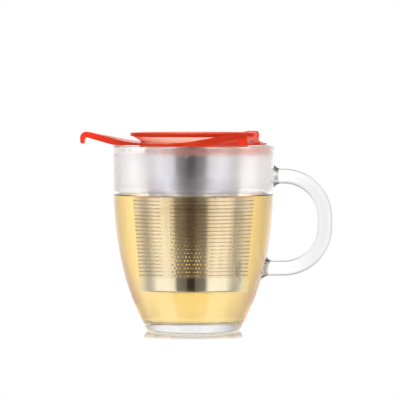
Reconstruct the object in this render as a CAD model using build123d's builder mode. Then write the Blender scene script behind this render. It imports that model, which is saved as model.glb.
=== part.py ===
from build123d import *
import os
from math import acos, atan2, cos, degrees, hypot, radians, sin, tan

# A glass mug with a fused-on handle, a lift-out steel tea filter hung in its mouth by a three-bladed
# plastic collar, and a loose saucer lid. Millimetres, +Z up. The origin is the middle of the mug's foot
# and the mug's handle points to +X.

# Glass mug
mug_height = 98.5
mug_rim_radius = 43.0
mug_foot_radius = 25.0
mug_wall = 2.2
mug_floor = 6.0
mug_floor_corner = 6.0
mug_foot_rounding = 1.5
mug_taper_power = 3
rim_rounding_share = 0.47

# Glass handle
handle_standoff = 31.0
handle_bottom_arm = 33.0
grip_straight = 5.1
handle_thickness = 8.0
handle_width = 11.5
handle_rounding = 3.4
handle_bend = 22.0
weld_flare_length = 2.4
weld_flare_angle = 22.0
weld_gap = 0.05

# Steel filter basket
basket_bottom = 23.0
basket_gap = 16.3
basket_taper = 5.0
steel_wall = 0.5
band_height = 14.0
band_lip = 1.0
cup_height = 7.4
foil_wall = 0.3
foil_lap = 3.0
seam_width = 4.0
seam_turn = 237.0
cup_rounding = 1.0
drain_radius = 0.7
drain_rings = 4
drains_per_ring = 6

# Plastic collar
collar_rest = 0.3
collar_fit = 0.3
collar_turn = -5.0
flange_gap = 1.8
flange_root = 1.5
flange_lift = 0.2
flange_edge = 0.7
skirt_wall = 1.9
skirt_drop = 2.0
blade_count = 3
blade_overhang = 17.6
blade_flank = 110.0
blade_tuck = 1.0
blade_sink = 0.3
blade_rise_gap = 3.2
blade_heel_inset = 1.5
blade_slope = 12.5
blade_under_slope = 14.0
blade_blend = 60.0
blade_heel_blend = 12.0
blade_crest = 3.4
hook_length = 7.2
hook_wall = 2.2
hook_inner_corner = 1.4
hook_rounding = 0.9
hook_half_width = 2.8
hook_tip = 1.7
hook_shoulder = 3.2

# Saucer lid
lid_overhang = 5.6
lid_rise = 5.0
lid_depth = 7.3
lid_wall = 1.5
lid_rim_width = 2.3
lid_rim_height = 2.0
lid_rim_rounding = 0.8
lid_corner = 1.4
lid_cone_angle = 33.0
lid_seat_gap = 0.3

os.makedirs("parts", exist_ok=True)


def mug_radius(height):
    """Outside radius of the mug at a height, upright at the rim and drawn in towards the foot."""
    drop_share = 1 - height / mug_height
    return mug_rim_radius - (mug_rim_radius - mug_foot_radius) * drop_share**mug_taper_power


def mug_form(inset):
    """Half section of the mug's form, moved inwards by the inset. The one curve is the taper as a cubic."""
    rim = mug_rim_radius - inset
    foot = mug_foot_radius - inset
    third = mug_height / mug_taper_power
    with BuildLine() as form:
        Bezier((rim, mug_height), (rim, mug_height - third), (rim, third), (foot, 0))
        Polyline((foot, 0), (0, 0), (0, mug_height), (rim, mug_height))
    make_face(form.edges())


with BuildPart() as mug_body:
    with BuildSketch(Plane.XZ):
        mug_form(0)
        with BuildSketch(mode=Mode.SUBTRACT):
            mug_form(mug_wall)
            with Locations((0, mug_floor)):
                Rectangle(mug_rim_radius, mug_height, align=(Align.MIN, Align.MIN), mode=Mode.INTERSECT)
            fillet(vertices().group_by(Axis.Y)[0].sort_by(Axis.X)[-1], mug_floor_corner)
        fillet(vertices().group_by(Axis.Y)[0].sort_by(Axis.X)[-1], mug_foot_rounding)
    revolve(axis=Axis.Z)
    fillet(edges().group_by(Axis.Z)[-1], mug_wall * rim_rounding_share)
mug_body.part.label = "mug_body"
export_step(mug_body.part, "parts/mug_body.step")


with BuildPart() as mug_handle:
    handle_top_arm = handle_bottom_arm + handle_bend * 2 + grip_straight
    grip_line = mug_rim_radius + handle_standoff - handle_thickness / 2
    top_end = mug_radius(handle_top_arm) - mug_wall
    bottom_end = mug_radius(handle_bottom_arm - handle_thickness) - mug_wall
    with BuildLine(Plane.XZ) as grip:
        FilletPolyline(
            (top_end, handle_top_arm),
            (grip_line, handle_top_arm),
            (grip_line, handle_bottom_arm),
            (bottom_end, handle_bottom_arm),
            radius=handle_bend,
        )
    with BuildSketch(Plane(origin=(top_end, 0, handle_top_arm), x_dir=(0, 1, 0), z_dir=(1, 0, 0))):
        RectangleRounded(handle_width, handle_thickness, handle_rounding)
    sweep()
    for arm in (handle_top_arm, handle_bottom_arm):
        flare_start = mug_radius(arm) + weld_flare_length
        with BuildSketch(Plane(origin=(flare_start, 0, arm), x_dir=(0, 1, 0), z_dir=(-1, 0, 0))):
            RectangleRounded(handle_width, handle_thickness, handle_rounding)
        extrude(amount=weld_flare_length + mug_wall, taper=-weld_flare_angle)
    with BuildSketch(Plane.XZ):
        mug_form(-weld_gap)
    revolve(axis=Axis.Z, mode=Mode.SUBTRACT)
mug_handle.part.label = "mug_handle"
export_step(mug_handle.part, "parts/mug_handle.step")


basket_top_radius = mug_rim_radius - basket_gap
basket_bottom_radius = basket_top_radius - basket_taper


def basket_radius(height):
    """Outside radius of the basket's tapered wall at a height."""
    rise_share = (height - basket_bottom) / (mug_height - basket_bottom)
    return basket_bottom_radius + (basket_top_radius - basket_bottom_radius) * rise_share


def basket_wall(bottom, top, inset, wall):
    """Half section of a tapered steel wall between two heights, moved inwards by the inset."""
    outer_low = basket_radius(bottom) - inset
    outer_high = basket_radius(top) - inset
    Polygon(
        (outer_low, bottom), (outer_high, top), (outer_high - wall, top), (outer_low - wall, bottom), align=None
    )


collar_under = mug_height + collar_rest
ledge = collar_under - steel_wall
band_bottom = ledge - band_height
foil_inset = steel_wall + weld_gap
foil_bottom = basket_bottom + steel_wall + weld_gap
lip_radius = basket_radius(ledge) + band_lip

with BuildPart() as basket_band:
    with BuildSketch(Plane.XZ):
        basket_wall(band_bottom, collar_under, 0, steel_wall)
        with Locations((lip_radius, ledge)):
            Rectangle(band_lip + steel_wall, steel_wall, align=(Align.MAX, Align.MIN))
    revolve(axis=Axis.Z)
basket_band.part.label = "basket_band"
export_step(basket_band.part, "parts/basket_band.step")

with BuildPart() as filter_sleeve:
    with BuildSketch(Plane.XZ):
        basket_wall(foil_bottom, band_bottom + foil_lap, foil_inset, foil_wall)
    revolve(axis=Axis.Z)
    seam_angle = degrees(seam_width / basket_top_radius)
    with BuildSketch(Plane.XZ.rotated((0, 0, seam_turn - seam_angle / 2))):
        basket_wall(foil_bottom, band_bottom + foil_lap, foil_inset, foil_wall * 2)
    revolve(axis=Axis.Z, revolution_arc=seam_angle)
filter_sleeve.part.label = "filter_sleeve"
export_step(filter_sleeve.part, "parts/filter_sleeve.step")

with BuildPart() as basket_cup:
    drain_pitch = basket_bottom_radius / (drain_rings + 1)
    with BuildSketch(Plane.XZ):
        basket_wall(basket_bottom, basket_bottom + cup_height, 0, steel_wall)
        with Locations((0, basket_bottom)):
            Rectangle(basket_bottom_radius, steel_wall, align=(Align.MIN, Align.MIN))
    revolve(axis=Axis.Z)
    fillet(edges().group_by(Axis.Z)[0], cup_rounding)
    with BuildSketch(Plane.XY.offset(basket_bottom)):
        Circle(drain_radius)
        for ring in range(1, drain_rings):
            with PolarLocations(ring * drain_pitch, ring * drains_per_ring):
                Circle(drain_radius)
    extrude(amount=steel_wall, mode=Mode.SUBTRACT)
basket_cup.part.label = "basket_cup"
export_step(basket_cup.part, "parts/basket_cup.step")

throat_top = collar_under + flange_root
flange_under = collar_under + flange_lift
throat_radius = lip_radius + collar_fit
bore_radius = basket_radius(ledge) + collar_fit
flange_radius = mug_rim_radius - mug_wall - flange_gap
blade_reach = mug_rim_radius + blade_overhang
blade_rise_start = throat_radius + blade_rise_gap
blade_heel = mug_rim_radius - blade_heel_inset
blade_rise = tan(radians(blade_slope))
under_rise = tan(radians(blade_under_slope))
shoulder = blade_reach - hook_shoulder

# One blade of the collar along +X: its side view, then its outline from above, then its hooked tip.
with BuildPart() as blade:
    root_top = throat_top - blade_sink
    knee = (blade_rise_start, root_top)
    brow = (blade_reach, root_top + (blade_reach - blade_rise_start) * blade_rise)
    hook_end = brow[1] - hook_length
    hook_back = blade_reach - hook_wall
    armpit = (hook_back, collar_under + (hook_back - blade_heel) * under_rise)
    heel = (blade_heel, collar_under)
    with BuildSketch(Plane.XZ):
        Polygon(
            (0, root_top),
            knee,
            brow,
            (blade_reach, hook_end),
            (hook_back, hook_end),
            armpit,
            heel,
            (0, collar_under),
            align=None,
        )
        fillet(vertices().sort_by_distance(knee)[0], blade_blend)
        fillet(vertices().sort_by_distance(brow)[0], blade_crest)
        fillet(vertices().sort_by_distance(armpit)[0], hook_inner_corner)
        fillet(vertices().sort_by_distance(heel)[0], blade_heel_blend)
        fillet(vertices().sort_by_distance((hook_back, hook_end))[0], hook_rounding)
        fillet(vertices().sort_by_distance((blade_reach, hook_end))[0], hook_rounding)
    extrude(amount=flange_radius, both=True)

    # Each flank is an arc that runs out of the flange's edge and ends beside the hook.
    reach = hypot(shoulder, hook_half_width)
    root_radius = flange_radius - blade_tuck
    span = root_radius + blade_flank
    spread = acos((span**2 + reach**2 - blade_flank**2) / (2 * span * reach)) + atan2(hook_half_width, shoulder)
    flank_x = span * cos(spread)
    flank_y = span * sin(spread)
    sweep_end = atan2(flank_y - hook_half_width, flank_x - shoulder)
    flank_turn = (spread + sweep_end) / 2
    flank_root = (root_radius * cos(spread), root_radius * sin(spread))
    flank_mid = (flank_x - blade_flank * cos(flank_turn), flank_y - blade_flank * sin(flank_turn))
    with BuildSketch(Plane.XY.offset(ledge)):
        with BuildLine():
            Line((0, 0), flank_root)
            ThreePointArc(flank_root, flank_mid, (shoulder, hook_half_width))
            Line((shoulder, hook_half_width), (shoulder + blade_reach, hook_half_width))
            Line((shoulder + blade_reach, hook_half_width), (shoulder + blade_reach, 0))
            mirror(about=Plane.XZ)
        make_face()
    extrude(amount=blade_reach, mode=Mode.INTERSECT)

    # The hook narrows from the blade's width to a round tip.
    with BuildSketch(Plane(origin=(shoulder, 0, hook_end), x_dir=(0, 1, 0), z_dir=(1, 0, 0))):
        Rectangle(hook_half_width * 2, hook_length * 2)
        with BuildSketch(mode=Mode.SUBTRACT):
            Polygon(
                (hook_half_width, hook_length),
                (-hook_half_width, hook_length),
                (-hook_tip, hook_tip),
                (hook_tip, hook_tip),
                align=None,
            )
            with Locations((0, hook_tip)):
                Circle(hook_tip)
    extrude(amount=blade_reach, mode=Mode.SUBTRACT)

with BuildPart() as infuser_collar:
    with BuildSketch(Plane.XZ):
        Polygon(
            (bore_radius, ledge - skirt_drop),
            (bore_radius + skirt_wall, ledge - skirt_drop),
            (bore_radius + skirt_wall, flange_under),
            (flange_radius, flange_under),
            (flange_radius, flange_under + flange_edge),
            (throat_radius, throat_top),
            (throat_radius, ledge),
            (bore_radius, ledge),
            align=None,
        )
    revolve(axis=Axis.Z)
    with PolarLocations(0, blade_count, start_angle=collar_turn - 180):
        add(blade.part)
    with BuildSketch(Plane.XY.offset(ledge)):
        Circle(throat_radius)
    extrude(amount=blade_reach, mode=Mode.SUBTRACT)
infuser_collar.part.label = "infuser_collar"
export_step(infuser_collar.part, "parts/infuser_collar.step")

with BuildPart() as lid:
    lid_radius = throat_radius + lid_overhang
    cone_run = 1 / tan(radians(lid_cone_angle))
    neck_radius = throat_radius - lid_seat_gap / sin(radians(lid_cone_angle))
    lid_top = throat_top + lid_rise
    lid_under = lid_top - lid_depth
    rim_under = lid_top - lid_rim_height
    foot_radius = neck_radius - (throat_top - lid_under) * cone_run
    floor_radius = foot_radius + lid_wall * cone_run - lid_wall / sin(radians(lid_cone_angle))
    with BuildSketch(Plane.XZ):
        Polygon(
            (0, lid_under),
            (foot_radius, lid_under),
            (neck_radius + (rim_under - throat_top) * cone_run, rim_under),
            (lid_radius, rim_under),
            (lid_radius, lid_top),
            (lid_radius - lid_rim_width, lid_top),
            (floor_radius, lid_under + lid_wall),
            (0, lid_under + lid_wall),
            align=None,
        )
        fillet(vertices().sort_by_distance((foot_radius, lid_under))[0], lid_corner)
        fillet(vertices().sort_by_distance((floor_radius, lid_under + lid_wall))[0], lid_corner)
        fillet(vertices().group_by(Axis.Y)[-1], lid_rim_rounding)
        fillet(vertices().sort_by_distance((lid_radius, rim_under))[0], lid_rim_rounding)
    revolve(axis=Axis.Z)
lid.part.label = "lid"
export_step(lid.part, "parts/lid.step")
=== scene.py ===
# %% [markdown]
# # A glass tea infuser mug
# The mug is one piece of clear glass with its handle fused on. A steel filter hangs in its mouth from a
# red plastic collar with three blades, and a red saucer lies in the collar as the lid. The frame gives
# each piece its place and size, and this script gives it its fine shape and its finish.

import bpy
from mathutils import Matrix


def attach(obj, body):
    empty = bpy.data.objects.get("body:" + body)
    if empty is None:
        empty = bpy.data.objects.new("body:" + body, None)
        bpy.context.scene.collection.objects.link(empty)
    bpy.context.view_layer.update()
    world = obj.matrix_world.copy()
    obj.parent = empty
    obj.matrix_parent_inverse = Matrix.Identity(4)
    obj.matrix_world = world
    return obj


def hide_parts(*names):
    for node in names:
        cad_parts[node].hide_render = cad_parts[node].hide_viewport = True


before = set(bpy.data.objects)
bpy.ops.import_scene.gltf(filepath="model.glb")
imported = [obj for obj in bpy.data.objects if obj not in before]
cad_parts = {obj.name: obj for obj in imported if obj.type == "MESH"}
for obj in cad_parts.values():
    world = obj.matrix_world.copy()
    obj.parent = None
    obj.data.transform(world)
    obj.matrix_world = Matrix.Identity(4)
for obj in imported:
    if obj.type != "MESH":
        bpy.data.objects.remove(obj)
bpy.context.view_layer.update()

# %% Tools and units
from math import cos, hypot, pi, radians, sin, sqrt

import bmesh
import bpy
from mathutils import Vector

MM = 0.001
print("one unit is a metre, and sizes are written in millimetres")

# %% [markdown]
# The camera comes first, because every later choice is judged through it. The photograph looks at the mug
# from about six degrees above its foot with a long lens, so the rim is almost a straight line and the far
# side hardly shrinks.

# %% The camera
VIEW_ANGLE = radians(10.15)
CAMERA_PLACE = (0, -1200 * MM, 119.6 * MM)
CAMERA_TARGET = (3.5 * MM, 0, 69.3 * MM)

lens = bpy.data.cameras.new("photo_camera")
lens.angle = VIEW_ANGLE
camera = bpy.data.objects.new("photo_camera", lens)
camera.location = CAMERA_PLACE
sight = Vector(CAMERA_TARGET) - camera.location
camera.rotation_euler = sight.to_track_quat("-Z", "Y").to_euler()
bpy.context.scene.collection.objects.link(camera)
bpy.context.scene.camera = camera
print("camera lens", round(lens.lens, 1), "mm")

# %% [markdown]
# Materials are small trees of nodes, and so are the rules that scatter drops or lay out a foil. Written
# node by node they are hard to read. `Shade` is one output of a node and lets sums and products be written
# as such. `Nodes` is a tree of either kind, with one method that adds any node.


# %% Helpers for node trees
class Shade:
    """One output of a node. Sums and products of shades add Math nodes."""

    def __init__(self, nodes, socket):
        self.nodes = nodes
        self.socket = socket

    def other(self, output):
        """Another output of the same node."""
        return Shade(self.nodes, self.socket.node.outputs[output])

    def __add__(self, other):
        return self.nodes.maths("ADD", self, other)

    __radd__ = __add__

    def __sub__(self, other):
        return self.nodes.maths("SUBTRACT", self, other)

    def __rsub__(self, other):
        return self.nodes.maths("SUBTRACT", other, self)

    def __mul__(self, other):
        return self.nodes.maths("MULTIPLY", self, other)

    __rmul__ = __mul__

    def __truediv__(self, other):
        return self.nodes.maths("DIVIDE", self, other)

    def __rtruediv__(self, other):
        return self.nodes.maths("DIVIDE", other, self)


class Nodes:
    """A node tree with the node that ends it."""

    def __init__(self, tree, end):
        self.tree = tree
        self.end = tree.nodes.new(end)

    def add(self, kind, settings=None, sockets=None, output=0):
        """Adds a node: its settings first, then the values or links of its sockets. Gives one output."""
        node = self.tree.nodes.new(kind)
        for name, value in (settings or {}).items():
            if name == "stops":
                self._stops(node.color_ramp, value)
            else:
                setattr(node, name, value)
        for name, value in (sockets or {}).items():
            self.feed(node.inputs[name], value)
        return Shade(self, node.outputs[output])

    def feed(self, socket, value):
        if isinstance(value, Shade):
            self.tree.links.new(value.socket, socket)
        else:
            socket.default_value = value

    def _stops(self, ramp, stops):
        while len(ramp.elements) < len(stops):
            ramp.elements.new(1.0)
        for element, (place, colour) in zip(ramp.elements, stops):
            element.position = place
            element.color = colour

    def maths(self, operation, first, second=0.0):
        return self.add("ShaderNodeMath", {"operation": operation}, {0: first, 1: second})

    def parts(self, vector):
        """The three numbers of a vector."""
        first = self.add("ShaderNodeSeparateXYZ", None, {0: vector})
        return first, first.other(1), first.other(2)


print("node helpers ready")

# %% [markdown]
# A finish is the tree of a material. The same few nodes come back in every one: a colour that turns into
# another, a soft step, noise, a bump and one surface laid over another, so each of them is a short method.


# %% Helpers for finishes
class Finish(Nodes):
    """The node tree of a material or of the world."""

    def __init__(self, owner, end="ShaderNodeOutputMaterial"):
        owner.use_nodes = True
        owner.node_tree.nodes.clear()
        super().__init__(owner.node_tree, end)
        self.owner = owner

    def mix(self, share, first, second):
        """One colour turning into another."""
        return self.add("ShaderNodeMix", {"data_type": "RGBA"}, {0: share, 6: first, 7: second}, 2)

    def ramp(self, value, low, high):
        """A value brought to 0 at the low mark and 1 at the high mark, with soft ends."""
        settings = {"interpolation_type": "SMOOTHSTEP"}
        sockets = {"Value": value, "From Min": low, "From Max": high}
        return self.add("ShaderNodeMapRange", settings, sockets)

    def place(self):
        return self.add("ShaderNodeTexCoord", None, None, "Object")

    def stretched(self, scale):
        """Object coordinates with a scale of its own along each axis."""
        return self.add("ShaderNodeMapping", None, {"Vector": self.place(), "Scale": scale})

    def noise(self, vector, scale, detail):
        return self.add("ShaderNodeTexNoise", None, {"Vector": vector, "Scale": scale, "Detail": detail})

    def bump(self, height, strength, distance):
        sockets = {"Strength": strength, "Distance": distance, "Height": height}
        return self.add("ShaderNodeBump", None, sockets)

    def layer(self, share, under, over):
        """One surface laid over another by a share."""
        return self.add("ShaderNodeMixShader", None, {0: share, 1: under, 2: over})

    def ray(self, kind):
        return self.add("ShaderNodeLightPath", None, None, kind)

    def mirrored(self, fewer, more):
        """0 for light that was mirrored the fewer times, and 1 for light that was mirrored more often."""
        return self.ramp(self.ray("Glossy Depth"), fewer, more)

    def show(self, surface, volume=None):
        self.feed(self.end.inputs["Surface"], surface)
        if volume:
            self.feed(self.end.inputs["Volume"], volume)
        return self.owner


def finish(name):
    return Finish(bpy.data.materials.new(name))


def grey(value):
    return (value, value, value, 1.0)


print("finish helpers ready")

# %% [markdown]
# Clear glass bends light and hides nothing. A lamp's shadow ray can't follow a bend, so for shadow rays
# alone the surface is plainly see-through: then what stands inside is lit instead of lying in the dark.
# The glass is blown, so its skin waves a little. The thick foot and the handle look greyer than the
# thin wall: a greyer tint by place paints that in, partly the light their thickness swallows and partly
# painted shade.

# %% Clear glass
CLEAR = grey(1.0)
GLASS_BEND = 1.47


def see_through(tree, bend, roughness, shadow_tint, normal=None, colour=CLEAR):
    """A surface with an index of refraction that is open to lamps."""
    sockets = {"Base Color": colour, "Roughness": roughness, "IOR": bend, "Transmission Weight": 1.0}
    if normal:
        sockets["Normal"] = normal
    body = tree.add("ShaderNodeBsdfPrincipled", None, sockets)
    open_to_lamps = tree.add("ShaderNodeBsdfTransparent", None, {"Color": shadow_tint})
    return tree.layer(tree.ray("Is Shadow Ray"), body, open_to_lamps)


FOOT_FADE = (4.5 * MM, 7.0 * MM)
HANDLE_FADE = (42.0 * MM, 66.0 * MM)
FOOT_ABSORBED_AND_SHADE, WALL_TINT, HANDLE_ABSORBED_AND_SHADE = grey(0.76), grey(0.98), grey(0.77)

tree = finish("clear_glass")
waved = tree.bump(tree.noise(tree.place(), scale=45.0, detail=1.0), strength=0.05, distance=0.2 * MM)
across, _, height = tree.parts(tree.place())
# painted shade: the foot and the handle are tinted greyer than the thin wall
tint = tree.mix(tree.ramp(height, *FOOT_FADE), FOOT_ABSORBED_AND_SHADE, WALL_TINT)
tint = tree.mix(tree.ramp(across, *HANDLE_FADE), tint, HANDLE_ABSORBED_AND_SHADE)
clear_glass = tree.show(see_through(tree, GLASS_BEND, 0.0, grey(0.97), waved, tint))
print("finish", clear_glass.name)

# %% [markdown]
# Where the handle is fused on, the glass has run: it ripples and it is a little milky. Its flared
# corners above and below each arm look dark, and that dark is painted shade: a base colour by the
# distance from the arm's middle. Light that was mirrored passes straight through the welds, because
# otherwise the steel shows them as a dark bow that the photograph doesn't have.

# %% Glass of the welds
ARM_TOP, ARM_LOW = 82.1, 33.0
CORNER_SHADE_FADE = (2.2 * MM, 4.2 * MM)
ARM_TINT, CORNER_PAINTED_SHADE = grey(0.98), grey(0.03)
MILK_SHARE = 0.07
WELD_ROUGH, RUNS_ROUGH = 0.12, 0.3

tree = finish("weld_glass")
runs = tree.noise(tree.stretched((1.0, 1.0, 0.5)), scale=420.0, detail=3.0)
rippled = tree.bump(runs, strength=0.5, distance=0.3 * MM)
height = tree.parts(tree.place())[2]
from_top = tree.maths("ABSOLUTE", height - ARM_TOP * MM)
from_low = tree.maths("ABSOLUTE", height - ARM_LOW * MM)
from_arm = tree.maths("MINIMUM", from_top, from_low)
# painted shade: the flared corners get a nearly black base colour
corner = tree.mix(tree.ramp(from_arm, *CORNER_SHADE_FADE), ARM_TINT, CORNER_PAINTED_SHADE)
rough = WELD_ROUGH + runs * RUNS_ROUGH
surface = see_through(tree, GLASS_BEND, rough, grey(0.9), rippled, corner)
milk = tree.add("ShaderNodeBsdfTranslucent", None, {"Color": grey(0.9)})
weld = tree.layer(MILK_SHARE, surface, milk)
unseen = tree.add("ShaderNodeBsdfTransparent", None, {"Color": CLEAR})
weld_glass = tree.show(tree.layer(tree.mirrored(0.0, 1.0), weld, unseen))
print("finish", weld_glass.name)

# %% [markdown]
# Steam mists the inner wall above the tea. One rough glass would blur everything alike, so fogged and bare
# glass are laid over each other by a share: wet strips next to the tea and the rim are mostly bare, and a
# patch in front has run clear.

# %% How the mist lies
WET_BY_TEA = (74.5 * MM, 77.5 * MM)
WET_BY_RIM = (94.0 * MM, 96.0 * MM)
CLEAR_PATCH = (-1.0 * MM, -40.5 * MM, 90.0 * MM)
PATCH_FADE = (6.0 * MM, 17.0 * MM)
WET_CLEARS, PATCH_CLEARS = 0.7, 0.72

tree = finish("misted_glass")
patches = tree.noise(tree.stretched((1.0, 1.0, 0.6)), scale=60.0, detail=3.0)
beads = tree.add("ShaderNodeTexVoronoi", None, {"Vector": tree.place(), "Scale": 1300.0}, "Distance")
beaded = tree.bump(1.0 - beads, strength=0.25, distance=0.1 * MM)
across, _, height = tree.parts(tree.place())
wet = 1.0 - tree.ramp(height, *WET_BY_TEA) + tree.ramp(height, *WET_BY_RIM)
between = {0: tree.place(), 1: CLEAR_PATCH}
apart = tree.add("ShaderNodeVectorMath", {"operation": "DISTANCE"}, between, "Value")
thin = 1.0 - tree.ramp(apart, *PATCH_FADE)
fog_share = 1.0 - wet * WET_CLEARS - thin * (1.0 - wet) * PATCH_CLEARS
print("mist round a clear patch at", [round(v / MM, 1) for v in CLEAR_PATCH])

# %% [markdown]
# Close under the collar the mist gets painted red light, a peach base colour that stands for the
# collar's red light caught in the mist. A strip of steam there scatters the light back, away from the
# left end. Both change by height and from left to right.

# %% Misted glass
PAINTED_LIGHT_UP, PAINTED_LIGHT_ACROSS = (92.0 * MM, 96.5 * MM), (-30.0 * MM, 0.0)
STEAM_UP, STEAM_ACROSS = (92.5 * MM, 95.5 * MM), (-32.0 * MM, -12.0 * MM)
MIST_TINT, PAINTED_RED_LIGHT = grey(0.95), (0.97, 0.58, 0.46, 1.0)
STEAM_TINT = (0.92, 0.95, 0.93, 1.0)
STEAM_MOST = 0.5
MIST_SHADOW = grey(0.93)
MIST_ROUGH, PATCHES_ROUGH = 0.38, 0.10

mist = MIST_ROUGH + tree.ramp(patches, 0.35, 0.7) * PATCHES_ROUGH
# painted light: the collar's red light as a peach base colour on the mist near it
painted_light_share = tree.ramp(height, *PAINTED_LIGHT_UP) * tree.ramp(across, *PAINTED_LIGHT_ACROSS)
mist_and_painted_light = tree.mix(painted_light_share, MIST_TINT, PAINTED_RED_LIGHT)
fogged = see_through(tree, GLASS_BEND, mist, MIST_SHADOW, beaded, mist_and_painted_light)
bare = see_through(tree, GLASS_BEND, 0.0, MIST_SHADOW, beaded, mist_and_painted_light)
misted = tree.layer(fog_share, bare, fogged)
steam_share = tree.ramp(height, *STEAM_UP) * tree.ramp(across, *STEAM_ACROSS) * STEAM_MOST
steam = tree.add("ShaderNodeBsdfTranslucent", None, {"Color": STEAM_TINT})
misted_glass = tree.show(tree.layer(steam_share, misted, steam))
print("finish", misted_glass.name)

# %% [markdown]
# Drops are plain water. Tea is water with a colour that deepens with the way the light takes through it,
# so its skin is clear and an absorbing volume holds the colour.

# %% Water and tea
WATER_BEND = 1.333
TEA_COLOUR = (0.985, 0.763, 0.04, 1.0)
TEA_STRENGTH = 25.5

tree = finish("water")
water = tree.show(see_through(tree, WATER_BEND, 0.0, CLEAR))

tree = finish("tea")
brew = tree.add("ShaderNodeVolumeAbsorption", None, {"Color": TEA_COLOUR, "Density": TEA_STRENGTH})
tea_finish = tree.show(see_through(tree, WATER_BEND, 0.0, CLEAR), brew)
print("finishes", water.name, tea_finish.name)

# %% [markdown]
# The filter is stainless steel. Its band and bottom cup are turned and polished, which leaves fine marks
# that run round them: noise squeezed hard along the height gives those. The foil is duller than the cup,
# because it is etched. Its inside is rougher still and darker, partly a tea stain and partly painted
# shade of the dim inside. The tea in front warms the steel, so the outer finishes are a little cool.

# %% Steel finishes
SMEAR_SHADE = 0.93


def steel_finish(name, colour, roughness, spread):
    """Steel with turning marks and faint smears. The spread is how much they roughen it."""
    tree = finish(name)
    marks = tree.noise(tree.stretched((12.0, 12.0, 2600.0)), scale=1.0, detail=3.0)
    smears = tree.noise(tree.place(), scale=90.0, detail=4.0)
    worn = roughness + marks * spread + tree.ramp(smears, 0.5, 0.8) * spread
    fine = tree.bump(marks, strength=0.04, distance=0.05 * MM)
    smeared = [c * SMEAR_SHADE for c in colour[:3]] + [1.0]
    tint = tree.mix(smears, colour, smeared)
    sockets = {"Base Color": tint, "Metallic": 1.0, "Roughness": worn, "Normal": fine}
    return tree.show(tree.add("ShaderNodeBsdfPrincipled", None, sockets))


polished_steel = steel_finish("polished_steel", (0.77, 0.78, 0.86, 1.0), 0.02, 0.04)
satin_steel = steel_finish("satin_steel", (0.69, 0.69, 0.71, 1.0), 0.05, 0.04)
foil_steel = steel_finish("foil_steel", (0.73, 0.71, 0.78, 1.0), 0.10, 0.06)
# partly tea stain, partly painted shade: the foil's inside is given a darker brown steel
foil_inside = steel_finish("foil_inside", (0.46, 0.43, 0.39, 1.0), 0.35, 0.08)
print("finishes", polished_steel.name, satin_steel.name, foil_steel.name, foil_inside.name)

# %% [markdown]
# Collar and lid are the same red plastic. Where it is thin it lets the light through as peach, and where
# the light runs a long way in it, it is a deep red. So the red is in the depth: a volume takes out green
# and blue by the millimetre under a nearly clear skin. A second, cloudy red body with hardly any shine
# stands for the collar and the lid's rim. Light that was mirrored more than once meets plain grey,
# because otherwise red runs down inside the glass and colours the foot.

# %% Red plastic
RED_DEPTH = (0.951, 0.377, 0.04, 1.0)
PLASTIC_SHADOW = (1.0, 0.55, 0.45, 1.0)
PLASTIC_ROUGH, SCUFF_ROUGH = 0.08, 0.1
CLEAR_BODY = {
    "Base Color": (1.0, 0.88, 0.78, 1.0),
    "IOR": 1.49,
    "Transmission Weight": 0.85,
    "Specular IOR Level": 0.12,
}
CLOUDY_BODY = {
    "Base Color": (0.93, 0.10, 0.036, 1.0),
    "IOR": 1.06,
    "Transmission Weight": 0.65,
    "Specular IOR Level": 0.0,
}


def plastic(name, strength, cloudy_share):
    """Red plastic. The share says where it is cloudy, and is made on the finish's own tree."""
    tree = finish(name)
    scuff = tree.noise(tree.place(), scale=900.0, detail=2.0)
    skin = tree.bump(scuff, strength=0.05, distance=0.03 * MM)
    bodies = []
    for body in (CLEAR_BODY, CLOUDY_BODY):
        sockets = {**body, "Roughness": PLASTIC_ROUGH + scuff * SCUFF_ROUGH, "Normal": skin}
        bodies.append(tree.add("ShaderNodeBsdfPrincipled", None, sockets))
    red = tree.layer(cloudy_share(tree), *bodies)
    plain = tree.add("ShaderNodeBsdfDiffuse", None, {"Color": grey(0.6)})
    red = tree.layer(tree.mirrored(1.0, 2.0), red, plain)
    open_to_lamps = tree.add("ShaderNodeBsdfTransparent", None, {"Color": PLASTIC_SHADOW})
    surface = tree.layer(tree.ray("Is Shadow Ray"), red, open_to_lamps)
    depth = tree.add("ShaderNodeVolumeAbsorption", None, {"Color": RED_DEPTH, "Density": strength})
    return tree.show(surface, depth)


PATCH_CLEARER = 0.08


def on_collar(tree):
    """Cloudy all over, a little clearer in soft patches."""
    soft = tree.noise(tree.place(), scale=90.0, detail=2.0)
    return 1.0 - tree.ramp(soft, 0.4, 0.7) * PATCH_CLEARER


RIM_ACROSS, RIM_UP = (30.2 * MM, 31.4 * MM), (102.8 * MM, 103.4 * MM)


def on_rim(tree):
    """The thick rim of the lid, by its distance from the axis and its height."""
    x, y, height = tree.parts(tree.place())
    flat = tree.add("ShaderNodeCombineXYZ", None, {0: x, 1: y})
    from_axis = tree.add("ShaderNodeVectorMath", {"operation": "LENGTH"}, {0: flat}, "Value")
    return tree.ramp(from_axis, *RIM_ACROSS) * tree.ramp(height, *RIM_UP)


COLLAR_STRENGTH, LID_STRENGTH = 500.0, 90.0

collar_plastic = plastic("collar_plastic", COLLAR_STRENGTH, on_collar)
lid_plastic = plastic("lid_plastic", LID_STRENGTH, on_rim)
print("finishes", collar_plastic.name, lid_plastic.name)

# %% [markdown]
# Most of the object is turned about its axis. A half section walked once round gives each such piece, with
# the points on the axis closed to one vertex. Corners of a section are rounded by a short curve, because
# no real edge is perfectly sharp and the rounding is what catches the light.


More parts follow.
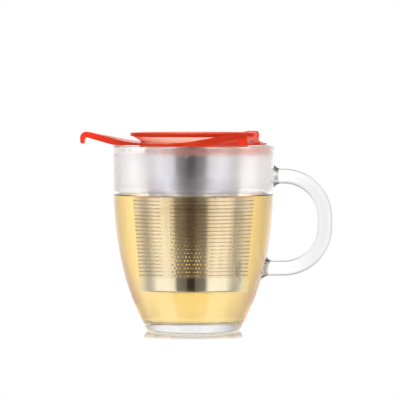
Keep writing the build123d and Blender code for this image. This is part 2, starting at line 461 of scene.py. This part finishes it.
# %% Helpers for sections
def arc_corner(points, steps=5):
    """A section with rounded corners. A point is (radius, height, cut): its rounding starts at the cut."""
    section = []
    for i, (radius, height, cut) in enumerate(points):
        if not cut:
            section.append((radius, height))
            continue
        ends = []
        for other in (points[i - 1], points[(i + 1) % len(points)]):
            out, up = other[0] - radius, other[1] - height
            run = hypot(out, up)
            ends.append((radius + out * cut / run, height + up * cut / run))
        for step in range(steps + 1):
            t = step / steps
            start, stop, middle = (1 - t) ** 2, t**2, 2 * t * (1 - t)
            pulls = zip(ends[0], (radius, height), ends[1])
            section.append(tuple(start * a + middle * b + stop * c for a, b, c in pulls))
    return section


def spaced(low, high, count):
    return [low + (high - low) * i / count for i in range(count + 1)]


print("section helpers ready")

# %% [markdown]
# A piece is an object with a mesh. Its modifiers are worked into the mesh before it is tied to the frame,
# because the export wants plain meshes.

# %% Helpers for pieces
SHARP = radians(38)
TURN_STEPS = 192
ON_AXIS = 1e-6


def new_piece(name, mesh, *finishes):
    piece = bpy.data.objects.new(name, mesh)
    for material in finishes:
        mesh.materials.append(material)
    bpy.context.scene.collection.objects.link(piece)
    return piece


def smooth(mesh):
    for face in mesh.polygons:
        face.use_smooth = True
    mesh.set_sharp_from_angle(angle=SHARP)


def mesh_from(form, name):
    """A plain mesh from a form whose faces are made to point outwards."""
    bmesh.ops.recalc_face_normals(form, faces=form.faces)
    mesh = bpy.data.meshes.new(name)
    form.to_mesh(mesh)
    form.free()
    smooth(mesh)
    return mesh


def turned(name, section, *finishes, closed=True, steps=TURN_STEPS):
    """A piece turned about the axis from a half section in millimetres."""
    form = bmesh.new()
    rings = []
    for radius, height in section:
        count = steps if radius > ON_AXIS else 1
        wide = radius * MM
        turns = [2 * pi * i / count for i in range(count)]
        rings.append([form.verts.new((wide * cos(a), wide * sin(a), height * MM)) for a in turns])
    followers = rings[1:] + rings[:1] if closed else rings[1:]
    for low, high in zip(rings, followers):
        for i in range(steps):
            corners = [low[i % len(low)], low[(i + 1) % steps % len(low)]]
            corners += [high[(i + 1) % steps % len(high)], high[i % len(high)]]
            corners = list(dict.fromkeys(corners))
            if len(corners) > 2:
                form.faces.new(corners)
    return new_piece(name, mesh_from(form, name), *finishes)


def settled(piece):
    """Works a piece's modifiers into a plain mesh."""
    graph = bpy.context.evaluated_depsgraph_get()
    mesh = bpy.data.meshes.new_from_object(piece.evaluated_get(graph))
    piece.modifiers.clear()
    old = piece.data
    piece.data = mesh
    bpy.data.meshes.remove(old)
    mesh.name = piece.name


print("piece helpers ready")

# %% [markdown]
# The mug's wall is upright at the rim and drawn in to a thick foot, with a cubic for its line. The inside
# follows the outside at an even wall, down to a rounded floor. The inner wall above the tea is misted by
# steam, so those faces get the second finish.

# %% The glass mug
MUG_HEIGHT, MUG_RIM, MUG_FOOT = 98.5, 43.0, 25.0
MUG_WALL, MUG_FLOOR = 2.2, 6.0
FOOT_TOP, FOOT_ROUND = 2.6, 1.3
FLOOR_EDGE, FLOOR_ROUND = MUG_FLOOR + 4.6, 3.6
TEA_LEVEL = 72.0
MIST_LOW, MIST_TOP = TEA_LEVEL + 1.5, 96.8
WALL_STEPS, RIM_STEPS, ROUND_STEPS = 56, 12, 8


def mug_radius(height):
    return MUG_RIM - (MUG_RIM - MUG_FOOT) * (1 - height / MUG_HEIGHT) ** 3


lip = MUG_WALL / 2
lip_low = MUG_HEIGHT - lip
foot = [(0, 0, 0), (MUG_FOOT, 0, FOOT_ROUND)]
outside = [(mug_radius(z), z, 0) for z in spaced(FOOT_TOP, lip_low, WALL_STEPS)]
lip_turns = [pi * i / RIM_STEPS for i in range(1, RIM_STEPS)]
rim = [(MUG_RIM - lip + lip * cos(a), lip_low + lip * sin(a), 0) for a in lip_turns]
inside = [(mug_radius(z) - MUG_WALL, z, 0) for z in spaced(lip_low, FLOOR_EDGE, WALL_STEPS)]
floor_corner = [(mug_radius(MUG_FLOOR) - MUG_WALL, MUG_FLOOR, FLOOR_ROUND), (0, MUG_FLOOR, 0)]
mug_section = arc_corner(foot + outside + rim + inside + floor_corner, ROUND_STEPS)
mug_glass = turned("mug_glass", mug_section, clear_glass, misted_glass, weld_glass, closed=False)
for face in mug_glass.data.polygons:
    x, y, z = (v / MM for v in face.center)
    if MIST_LOW < z < MIST_TOP and hypot(x, y) < mug_radius(z) - MUG_WALL / 2:
        face.material_index = 1
print("mug wall", len(mug_glass.data.polygons), "faces")

# %% [markdown]
# The handle is a strap with a rounded section, bent twice and fused to the wall, where it spreads into a
# small flare. It could be a curve with a bevel, but its ends have to fit the wall. So it is made ring by
# ring, and its last rings lie on the wall's own curve and end inside the glass.

# %% Rings of the handle
GRIP_LINE, BEND = 70.0, 22.0
STRAP_WIDE, STRAP_THICK, STRAP_ROUND = 11.5, 8.0, 3.4
FLARE, FLARE_LENGTH = 2.1, 3.6
WELD_STEPS = (-1.1, -0.4, 0.1, 0.5, 0.9, 1.4, 2.0, 2.7, FLARE_LENGTH)
CORNER_POINTS = 8


def strap_section(spread):
    """The strap's rounded outline, as (across, up) points."""
    points = []
    wide = STRAP_WIDE / 2 - STRAP_ROUND
    thick = STRAP_THICK / 2 - STRAP_ROUND
    reach = STRAP_ROUND + spread
    for corner, (side, rise) in enumerate(((1, 1), (-1, 1), (-1, -1), (1, -1))):
        for step in range(CORNER_POINTS):
            a = (corner + step / (CORNER_POINTS - 1)) * pi / 2
            points.append((side * wide + reach * cos(a), rise * thick + reach * sin(a)))
    return points


def weld_ring(arm, away):
    """A ring that lies a given distance outside the mug's wall."""
    spread = FLARE * max(0, 1 - max(away, 0) / FLARE_LENGTH) ** 2
    ring = []
    for across, up in strap_section(spread):
        wall = mug_radius(arm + up)
        ring.append((sqrt(wall**2 - across**2) + away, across, arm + up))
    return ring


def bend_ring(middle, lean):
    """A ring of the free strap round a bend's middle. The lean is how far its run has turned from +X."""
    x = GRIP_LINE - BEND + BEND * sin(lean)
    z = middle + BEND * cos(lean)
    return [(x + up * sin(lean), across, z + up * cos(lean)) for across, up in strap_section(0)]


print("points in a ring", len(strap_section(0)))

# %% [markdown]
# At the lower arm the strap runs back towards the mug, so what was its top is now its underside. The rings
# there are reversed, and each ring is then started at the point that lies nearest to the ring before it.

# %% The handle from its rings
BEND_STEPS = 24

rings = [weld_ring(ARM_TOP, away) for away in WELD_STEPS]
for i in range(BEND_STEPS + 1):
    rings.append(bend_ring(ARM_TOP - BEND, pi / 2 * i / BEND_STEPS))
for i in range(BEND_STEPS + 1):
    rings.append(bend_ring(ARM_LOW + BEND, pi / 2 * (1 + i / BEND_STEPS)))
rings += [weld_ring(ARM_LOW, away)[::-1] for away in reversed(WELD_STEPS)]


def matched(first, second):
    """The second ring, started and walked round so that it lies nearest to the first."""
    best = None
    for way in (1, -1):
        for start in range(len(second)):
            order = [second[(start + way * i) % len(second)] for i in range(len(second))]
            cost = sum((a.co - b.co).length for a, b in zip(first, order))
            if best is None or cost < best[0]:
                best = (cost, order)
    return best[1]


form = bmesh.new()
loops = [[form.verts.new([v * MM for v in point]) for point in ring] for ring in rings]
for i in range(1, len(loops)):
    loops[i] = matched(loops[i - 1], loops[i])
    for j in range(len(loops[i])):
        k = (j + 1) % len(loops[i])
        form.faces.new((loops[i - 1][j], loops[i - 1][k], loops[i][k], loops[i][j]))
form.faces.new(loops[0])
form.faces.new(loops[-1])
handle = new_piece("handle", mesh_from(form, "handle"), clear_glass, misted_glass, weld_glass)
print("handle rings", len(loops))

# %% [markdown]
# A Boolean joins the two into one piece, with no wall of glass left between them. The faces near the wall
# get the finish of the welds first.

# %% Join the handle to the mug
WELD_REACH = WELD_STEPS[-2]

for face in handle.data.polygons:
    x, y, z = (v / MM for v in face.center)
    if hypot(x, y) < mug_radius(z) + WELD_REACH:
        face.material_index = 2
joint = mug_glass.modifiers.new("weld", "BOOLEAN")
joint.operation = "UNION"
joint.solver = "EXACT"
joint.object = handle
settled(mug_glass)
bpy.data.objects.remove(handle)
smooth(mug_glass.data)
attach(mug_glass, "mug")
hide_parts("mug_body", "mug_handle")
print("mug and handle", len(mug_glass.data.polygons), "faces")

# %% [markdown]
# The tea fills nearly three quarters of the mug's height. Its skin overlaps the glass by a tenth of a
# millimetre: with a gap of air between them the light would be thrown back at the wall, and the tea would
# look too narrow. Its edge climbs the glass a little.

# %% The tea
OVERLAP = 0.1
MENISCUS, MENISCUS_RUN = 0.9, 3.4
TEA_STEPS, SKIN_STEPS, SKIN_START = 44, 10, 0.08

tea_heights = spaced(FLOOR_EDGE, TEA_LEVEL + MENISCUS, TEA_STEPS)
tea_wall = [(mug_radius(z) - MUG_WALL + OVERLAP, z, 0) for z in tea_heights]
tea_edge = mug_radius(TEA_LEVEL) - MUG_WALL
tea_skin = []
for t in spaced(SKIN_START, 1.0, SKIN_STEPS):
    tea_skin.append((tea_edge - MENISCUS_RUN * t, TEA_LEVEL + MENISCUS * (1 - t) ** 3, 0))
tea_low = MUG_FLOOR - OVERLAP
tea_floor = [(0, tea_low, 0), (mug_radius(MUG_FLOOR) - MUG_WALL + OVERLAP, tea_low, FLOOR_ROUND)]
tea_section = arc_corner(tea_floor + tea_wall + tea_skin + [(0, TEA_LEVEL, 0)], ROUND_STEPS)
tea = turned("tea", tea_section, tea_finish, closed=False)
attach(tea, "mug")
print("tea level", TEA_LEVEL, "mm")

# %% [markdown]
# Geometry Nodes make what repeats. A pattern is such a tree with a named input for each of its sizes. It
# ends in plain geometry with a finish, because the export drops instances.


# %% A helper for Geometry Nodes
class Pattern(Nodes):
    """A Geometry Nodes tree with named inputs."""

    def __init__(self, name, sizes):
        group = bpy.data.node_groups.new(name, "GeometryNodeTree")
        sockets = group.interface
        sockets.new_socket("Geometry", in_out="INPUT", socket_type="NodeSocketGeometry")
        self.values = {}
        for title, value in sizes.items():
            kind = "NodeSocketInt" if isinstance(value, int) else "NodeSocketFloat"
            key = sockets.new_socket(title, in_out="INPUT", socket_type=kind).identifier
            self.values[key] = value
        sockets.new_socket("Geometry", in_out="OUTPUT", socket_type="NodeSocketGeometry")
        super().__init__(group, "NodeGroupOutput")
        self.start = group.nodes.new("NodeGroupInput")

    def size(self, title):
        return Shade(self, self.start.outputs[title])

    def given(self):
        """The geometry that the piece brings along."""
        return self.size("Geometry")

    def here(self):
        """The three numbers of a point's place."""
        return self.parts(self.add("GeometryNodeInputPosition"))

    def finish_on(self, piece, geometry, material):
        """Ends the tree in plain geometry with a finish, as a modifier on the piece."""
        real = self.add("GeometryNodeRealizeInstances", None, {"Geometry": geometry})
        dressed = self.add("GeometryNodeSetMaterial", None, {"Geometry": real, "Material": material})
        self.feed(self.end.inputs[0], dressed)
        modifier = piece.modifiers.new(self.tree.name, "NODES")
        modifier.node_group = self.tree
        for key, value in self.values.items():
            modifier[key] = value


print("pattern helper ready")

# %% [markdown]
# Steam settles on the cold wall above the tea as drops. The tree spreads points over the inner wall by a
# density that is high near the rim and near the tea, sets a small sphere on each one and flattens it
# against the glass. The seed is fixed, so the same drops come back on every run.

# %% Where the drops settle
DROP_LOW, DROP_TOP, DROP_INSET = TEA_LEVEL + 1.8, MUG_HEIGHT - 1.6, 0.02
DROP_RINGS, DROP_TURN_STEPS = 12, 64

drop_heights = spaced(DROP_LOW, DROP_TOP, DROP_RINGS)
drop_wall = [(mug_radius(z) - MUG_WALL - DROP_INSET, z) for z in drop_heights]
drops = turned("steam_drops", drop_wall, water, closed=False, steps=DROP_TURN_STEPS)
scatter = Pattern("scattered_drops", {
    "Density": 90000.0,
    "Smallest": 0.12 * MM,
    "Largest": 0.80 * MM,
    "Flatness": 0.55,
    "Seed": 7,
})


def crowded(height, none, full, most):
    """A density that grows from nothing at one height to its most at another."""
    sockets = {"Value": height, "From Min": none * MM, "From Max": full * MM, "To Max": most}
    return scatter.add("ShaderNodeMapRange", None, sockets)


height = scatter.here()[2]
near_rim = crowded(height, none=94.0, full=96.5, most=2.2)
near_tea = crowded(height, none=77.0, full=74.0, most=1.6)
cloud = scatter.add("GeometryNodeDistributePointsOnFaces", None, {
    "Mesh": scatter.given(),
    "Density": (near_rim + near_tea) * scatter.size("Density"),
    "Seed": scatter.size("Seed"),
})
print("drops settle between", DROP_LOW, "and", DROP_TOP, "mm")

# %% Drops of steam on the glass
MOSTLY_SMALL = 1.8

smallest = scatter.size("Smallest")
size_share = scatter.add("FunctionNodeRandomValue", None, {"Seed": scatter.size("Seed")}, 1)
size_share = scatter.maths("POWER", size_share, MOSTLY_SMALL)
drop_size = size_share * (scatter.size("Largest") - smallest) + smallest
flat_size = drop_size * scatter.size("Flatness")
ball = scatter.add("GeometryNodeMeshUVSphere", None, {"Segments": 10, "Rings": 6, "Radius": 1.0})
on_wall = scatter.add("GeometryNodeInstanceOnPoints", None, {
    "Points": cloud,
    "Instance": scatter.add("GeometryNodeSetShadeSmooth", None, {"Geometry": ball}),
    "Rotation": cloud.other("Rotation"),
    "Scale": scatter.add("ShaderNodeCombineXYZ", None, {0: drop_size, 1: drop_size, 2: flat_size}),
})
scatter.finish_on(drops, on_wall, water)
settled(drops)
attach(drops, "mug")
print("drops", len(drops.data.polygons), "faces")

# %% [markdown]
# The filter's wall is a foil with thousands of short slots in staggered rows. Cutting each slot would be
# slow, so one cell with a hole is modelled flat. Geometry Nodes lay it out in rows, shift every second row
# by half a cell, add the plain margins and bend the whole sheet round the basket's cone. A plain strip
# laps over the joint of the sheet, as in the real filter.

# %% One cell of the foil
HOLE_WIDE_SHARE, HOLE_HIGH_SHARE = 0.34, 0.20
CELL_EDGE = ((0.5, 0), (0.5, 0.5), (0, 0.5), (-0.5, 0.5), (-0.5, 0), (-0.5, -0.5), (0, -0.5), (0.5, -0.5))

form = bmesh.new()
outer = [form.verts.new((x, y, 0)) for x, y in CELL_EDGE]
hole_turns = [pi / 4 * i for i in range(len(outer))]
inner = [form.verts.new((HOLE_WIDE_SHARE * cos(a), HOLE_HIGH_SHARE * sin(a), 0)) for a in hole_turns]
for i in range(len(outer)):
    k = (i + 1) % len(outer)
    form.faces.new((outer[i], outer[k], inner[k], inner[i]))
cell_mesh = bpy.data.meshes.new("foil_cell")
form.to_mesh(cell_mesh)
form.free()
filter_foil = new_piece("filter_foil", cell_mesh, foil_steel)
print("cell", len(cell_mesh.polygons), "faces")

# %% Sizes of the foil
BASKET_LOW, BASKET_LOW_RADIUS, BASKET_TOP_RADIUS = 23.0, 21.7, 26.7
STEEL_WALL, WELD_GAP, FOIL_WALL = 0.5, 0.05, 0.3
FOIL_LOW, FOIL_TOP = 23.55, 87.3
ROWS, ROW_PITCH, FIRST_ROW = 27, 1.9, 31.8

basket_slope = (BASKET_TOP_RADIUS - BASKET_LOW_RADIUS) / (MUG_HEIGHT - BASKET_LOW)


def basket_radius(height):
    return BASKET_LOW_RADIUS + basket_slope * (height - BASKET_LOW)


sheet = Pattern("foil_sheet", {
    "Rows": ROWS,
    "Columns": 104,
    "Columns Round": 107.0,
    "Row Pitch": ROW_PITCH * MM,
    "First Row": FIRST_ROW * MM,
    "Low Radius": (basket_radius(0) - STEEL_WALL - WELD_GAP) * MM,
    "Slope": basket_slope,
    "Seam Turn": radians(237),
    "Margin Below": (FIRST_ROW - FOIL_LOW) / ROW_PITCH - 0.5,
    "Margin Above": (FOIL_TOP - FIRST_ROW) / ROW_PITCH - ROWS + 0.5,
    "Strip Columns": 3.6,
    "Strip Lift": 0.1 * MM,
})
print("foil from", FOIL_LOW, "to", FOIL_TOP, "mm")


# %% The flat sheet
def grid(wide, high, columns, rows):
    sockets = {"Size X": wide, "Size Y": high, "Vertices X": columns, "Vertices Y": rows}
    return sheet.add("GeometryNodeMeshGrid", None, sockets)


def moved(geometry, x=0.0, y=0.0, z=0.0):
    offset = sheet.add("ShaderNodeCombineXYZ", None, {0: x, 1: y, 2: z})
    return sheet.add("GeometryNodeSetPosition", None, {"Geometry": geometry, "Offset": offset})


MARGIN_POINTS, STRIP_POINTS = 105, 9
SAME_PLACE = 0.01

rows, columns = sheet.size("Rows"), sheet.size("Columns")
row_span = rows - 1.0
places = grid(columns - 1.0, row_span, columns, rows)
row_number = sheet.maths("ROUND", sheet.here()[1] + row_span * 0.5)
stagger = sheet.maths("MODULO", row_number, 2.0) * 0.5
spots = {"Points": moved(places, stagger - 0.25), "Instance": sheet.given()}
cells = sheet.add("GeometryNodeInstanceOnPoints", None, spots)
cells = sheet.add("GeometryNodeRealizeInstances", None, {"Geometry": cells})
cells = sheet.add("GeometryNodeMergeByDistance", None, {"Geometry": cells, "Distance": SAME_PLACE})

half_rows = rows * 0.5
full_columns = columns + 0.5
below, above = sheet.size("Margin Below"), sheet.size("Margin Above")
low_margin = moved(grid(full_columns, below, MARGIN_POINTS, 2), y=below * -0.5 - half_rows)
top_margin = moved(grid(full_columns, above, MARGIN_POINTS, 2), y=above * 0.5 + half_rows)
strip = moved(
    grid(sheet.size("Strip Columns"), rows + below + above, STRIP_POINTS, 2),
    sheet.size("Columns Round") * 0.5,
    (above - below) * 0.5,
    sheet.size("Strip Lift"),
)
flat_sheet = sheet.add("GeometryNodeJoinGeometry")
for part in (cells, low_margin, top_margin, strip):
    sheet.feed(flat_sheet.socket.node.inputs[0], part)
print("flat sheet", len(sheet.tree.nodes), "nodes")

# %% The sheet bent round the basket
column, line, lift = sheet.here()
turn = column / sheet.size("Columns Round") * (2 * pi) + sheet.size("Seam Turn") + pi
level = (line + row_span * 0.5) * sheet.size("Row Pitch") + sheet.size("First Row")
reach = level * sheet.size("Slope") + sheet.size("Low Radius") + lift
bent = sheet.add("ShaderNodeCombineXYZ", None, {
    0: reach * sheet.maths("COSINE", turn),
    1: reach * sheet.maths("SINE", turn),
    2: level,
})
foil = sheet.add("GeometryNodeSetPosition", None, {"Geometry": flat_sheet, "Position": bent})
sheet.finish_on(filter_foil, foil, foil_steel)
thick = filter_foil.modifiers.new("foil_wall", "SOLIDIFY")
thick.thickness = FOIL_WALL * MM
thick.offset = -1
settled(filter_foil)
smooth(filter_foil.data)
filter_foil.data.materials.append(foil_inside)
for face in filter_foil.data.polygons:
    if face.normal.x * face.center.x + face.normal.y * face.center.y < 0:
        face.material_index = 1
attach(filter_foil, "infuser")
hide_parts("filter_sleeve")
print("foil", len(filter_foil.data.polygons), "faces")

# %% [markdown]
# A plain steel band closes the foil above and a shallow cup closes it below. The band is turned, and its
# lip lies on the collar's ledge. The cup's floor keeps the drain holes that the frame gives it, so its own
# shape stays and only its finish changes.

# %% The steel band and the cup
BAND_LOW, LEDGE, BAND_TOP, BAND_LIP = 84.3, 98.3, 98.8, 1.0
EDGE_ROUND, LIP_ROUND, BEND_ROUND = 0.15, 0.2, 0.3

lip_radius = basket_radius(LEDGE) + BAND_LIP
band_section = arc_corner([
    (basket_radius(BAND_LOW), BAND_LOW, EDGE_ROUND),
    (basket_radius(LEDGE), LEDGE, BEND_ROUND),
    (lip_radius, LEDGE, LIP_ROUND),
    (lip_radius, BAND_TOP, LIP_ROUND),
    (basket_radius(BAND_TOP) - STEEL_WALL, BAND_TOP, BEND_ROUND),
    (basket_radius(BAND_LOW) - STEEL_WALL, BAND_LOW, EDGE_ROUND),
])
band = turned("steel_band", band_section, satin_steel)
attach(band, "infuser")
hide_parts("basket_band")

cup_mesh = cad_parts["basket_cup"].data
cup_mesh.materials.clear()
cup_mesh.materials.append(polished_steel)
print("band", len(band.data.polygons), "faces")

# %% [markdown]
# The collar comes out of a mould, so its edges are rounded by about a third of a millimetre. It isn't
# turned, because of its blades, so it is a merged copy of its node with a Bevel on its edges, smoothed so
# that no facet shows.

# %% The collar
COLLAR_ROUNDING, ROUNDING_STEPS = 0.35, 3
ROUNDED_FROM = radians(32)
MERGE_WITHIN = 0.002

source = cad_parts["infuser_collar"].data
mesh = bpy.data.meshes.new("collar")
mesh.from_pydata([v.co for v in source.vertices], [], [list(p.vertices) for p in source.polygons])
form = bmesh.new()
form.from_mesh(mesh)
bmesh.ops.remove_doubles(form, verts=form.verts, dist=MERGE_WITHIN * MM)
form.to_mesh(mesh)
form.free()
collar = new_piece("collar", mesh, collar_plastic)
bevel = collar.modifiers.new("rounded_edges", "BEVEL")
bevel.width = COLLAR_ROUNDING * MM
bevel.segments = ROUNDING_STEPS
bevel.limit_method = "ANGLE"
bevel.angle_limit = ROUNDED_FROM
settled(collar)
smooth(collar.data)
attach(collar, "infuser")
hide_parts("infuser_collar")
print("collar", len(collar.data.polygons), "faces")

# %% [markdown]
# The lid is a saucer: a flat floor, a cone that rests in the collar's throat, and a thick rim to lift it
# by. It is turned from its own section, with every corner rounded, because a rounded rim is what makes the
# light run round in it.

# %% The saucer lid
LID_TOP, LID_UNDER, LID_RIM_UNDER = 105.3, 98.0, 103.3
LID_FOOT, LID_FLOOR, LID_NECK, LID_INSIDE, LID_RADIUS = 23.89, 23.45, 32.06, 31.29, 33.59
LID_WALL = 1.5
FLOOR_CORNER, NECK_CORNER = 0.9, 0.4
RIM_LOW_CORNER, RIM_TOP_CORNER, RIM_INNER_CORNER = 0.75, 0.8, 0.7
LID_ROUND_STEPS = 6

lid_floor = LID_UNDER + LID_WALL
lid_section = arc_corner([
    (0, LID_UNDER, 0),
    (LID_FOOT, LID_UNDER, FLOOR_CORNER),
    (LID_NECK, LID_RIM_UNDER, NECK_CORNER),
    (LID_RADIUS, LID_RIM_UNDER, RIM_LOW_CORNER),
    (LID_RADIUS, LID_TOP, RIM_TOP_CORNER),
    (LID_INSIDE, LID_TOP, RIM_INNER_CORNER),
    (LID_FLOOR, lid_floor, FLOOR_CORNER),
    (0, lid_floor, 0),
], LID_ROUND_STEPS)
saucer = turned("saucer", lid_section, lid_plastic, closed=False)
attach(saucer, "lid")
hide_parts("lid")
print("saucer", len(saucer.data.polygons), "faces")

# %% [markdown]
# The photograph has a white sweep, so the floor is a pale disc that glows a little and ends where the
# picture can't show its edge. It is glossy near the mug, where the foot is mirrored, and the gloss fades
# away from it. Only the camera sees it: glass and steel see the studio, which is drawn below the horizon
# too.

# %% The floor
FLOOR_RADIUS, FLOOR_LEVEL, FLOOR_STEPS = 150.0, -0.2, 96
GLOSS_FADE = (30.0 * MM, 66.0 * MM)
GLOSS_MOST = 0.75

floor_line = [(0, FLOOR_LEVEL), (FLOOR_RADIUS, FLOOR_LEVEL)]
floor = turned("floor", floor_line, closed=False, steps=FLOOR_STEPS)
tree = finish("pale_floor")
apart = tree.add("ShaderNodeVectorMath", {"operation": "LENGTH"}, {0: tree.place()}, "Value")
gloss_share = (1.0 - tree.ramp(apart, *GLOSS_FADE)) * GLOSS_MOST
white = tree.add("ShaderNodeBsdfDiffuse", None, {"Color": grey(0.5)})
glow = tree.add("ShaderNodeEmission", None, {"Color": CLEAR, "Strength": 0.8})
pale = tree.add("ShaderNodeAddShader", None, {0: white, 1: glow})
gloss = tree.add("ShaderNodeBsdfGlossy", None, {"Color": grey(0.9), "Roughness": 0.06})
polished = tree.layer(gloss_share, pale, gloss)
gone = tree.add("ShaderNodeBsdfTransparent", None, {"Color": CLEAR})
floor.data.materials.append(tree.show(tree.layer(tree.ray("Is Camera Ray"), gone, polished)))
print("floor", FLOOR_RADIUS, "mm")

# %% [markdown]
# Glass and steel show their surroundings more than themselves, so the light is a drawn studio. Going round
# from behind the camera to behind the mug it has a narrow black slot, a grey wall, a bright softbox on each
# side, a dark flag that draws the edge of the glass, and white paper behind. The walls are drawn at four
# heights, because band, foil and cup each mirror another one.

# %% Walls of the studio
STUDIO_TURN = radians(6.0)
BACKS = ((0.58, 0.40), (0.65, 0.26), (0.73, 0.27), (0.80, 0.39), (0.88, 0.50), (1.0, 0.50))

world = bpy.data.worlds.new("studio")
bpy.context.scene.world = world
tree = Finish(world, "ShaderNodeOutputWorld")
direction = tree.add("ShaderNodeTexCoord", None, None, "Generated")
turned_about = {"Vector": direction, "Angle": STUDIO_TURN}
direction = tree.add("ShaderNodeVectorRotate", {"rotation_type": "Z_AXIS"}, turned_about)
across, along, up = tree.parts(direction)
to_front = along * -1.0
share_round = tree.maths("ARCTAN2", tree.maths("ABSOLUTE", across), to_front) / pi


def walls(*fronts):
    """A wall that changes going round: pairs of a share of the half turn and a brightness."""
    stops = [(share, grey(bright)) for share, bright in fronts + BACKS]
    return tree.add("ShaderNodeValToRGB", {"stops": stops}, {"Fac": share_round})


level = walls((0.0, 0.0), (0.052, 0.0), (0.056, 0.06), (0.19, 0.10), (0.245, 0.60), (0.51, 0.60))
lower = walls((0.0, 0.075), (0.052, 0.075), (0.07, 0.15), (0.205, 0.21), (0.235, 0.66), (0.51, 0.66))
lowest = walls((0.0, 0.0), (0.07, 0.0), (0.15, 0.02), (0.19, 0.05), (0.27, 0.49), (0.50, 0.49))
by_floor = walls((0.0, 0.03), (0.052, 0.04), (0.07, 0.08), (0.19, 0.13), (0.24, 0.52), (0.50, 0.52))
print("studio walls at four heights")

# %% [markdown]
# Above the walls there is a pale fill in front, a dark flag behind and a bright ceiling, and far below them
# it is dark behind. Light that wasn't mirrored sees a plain front, so that the slot shows only in mirror
# images. The camera itself sees plain white.

# %% The studio light
LEVEL_EDGE, LOWER_EDGE, LOWEST_EDGE = (-0.088, -0.080), (-0.15, -0.14), (-0.184, -0.174)
FRONT_EDGE, FILL_EDGE, CEILING_EDGE = (-0.1, 0.3), (0.06, 0.2), (0.8, 0.9)
FLAG_EDGE, PIT_EDGE = (0.12, 0.65), (-0.6, -0.45)
FILL, FLAG, PIT, CEILING = grey(0.45), grey(0.17), grey(0.2), grey(0.6)
STUDIO_STRENGTH = 2.4
BOUNCES = 32

light = tree.mix(tree.ramp(up, *LEVEL_EDGE), lower, level)
light = tree.mix(tree.ramp(up, *LOWER_EDGE), lowest, light)
light = tree.mix(tree.ramp(up, *LOWEST_EDGE), by_floor, light)
front = tree.ramp(to_front, *FRONT_EDGE)
light = tree.mix(tree.ramp(up, *FILL_EDGE) * front, light, FILL)
light = tree.mix(tree.ramp(up, *FLAG_EDGE) * (1.0 - front), light, FLAG)
light = tree.mix((1.0 - tree.ramp(up, *PIT_EDGE)) * (1.0 - front), light, PIT)
light = tree.mix(tree.ramp(up, *CEILING_EDGE), light, CEILING)
light = tree.mix(front * (1.0 - tree.mirrored(0.0, 1.0)), light, FILL)
lit = tree.add("ShaderNodeBackground", None, {"Color": light, "Strength": STUDIO_STRENGTH})
paper = tree.add("ShaderNodeBackground", None, {"Color": CLEAR, "Strength": 1.0})
tree.show(tree.layer(tree.ray("Is Camera Ray"), lit, paper))
bpy.context.scene.view_settings.view_transform = "Standard"
bpy.context.scene.cycles.max_bounces = BOUNCES
bpy.context.scene.cycles.transmission_bounces = BOUNCES
bpy.context.scene.cycles.glossy_bounces = BOUNCES
print("studio strength", STUDIO_STRENGTH)
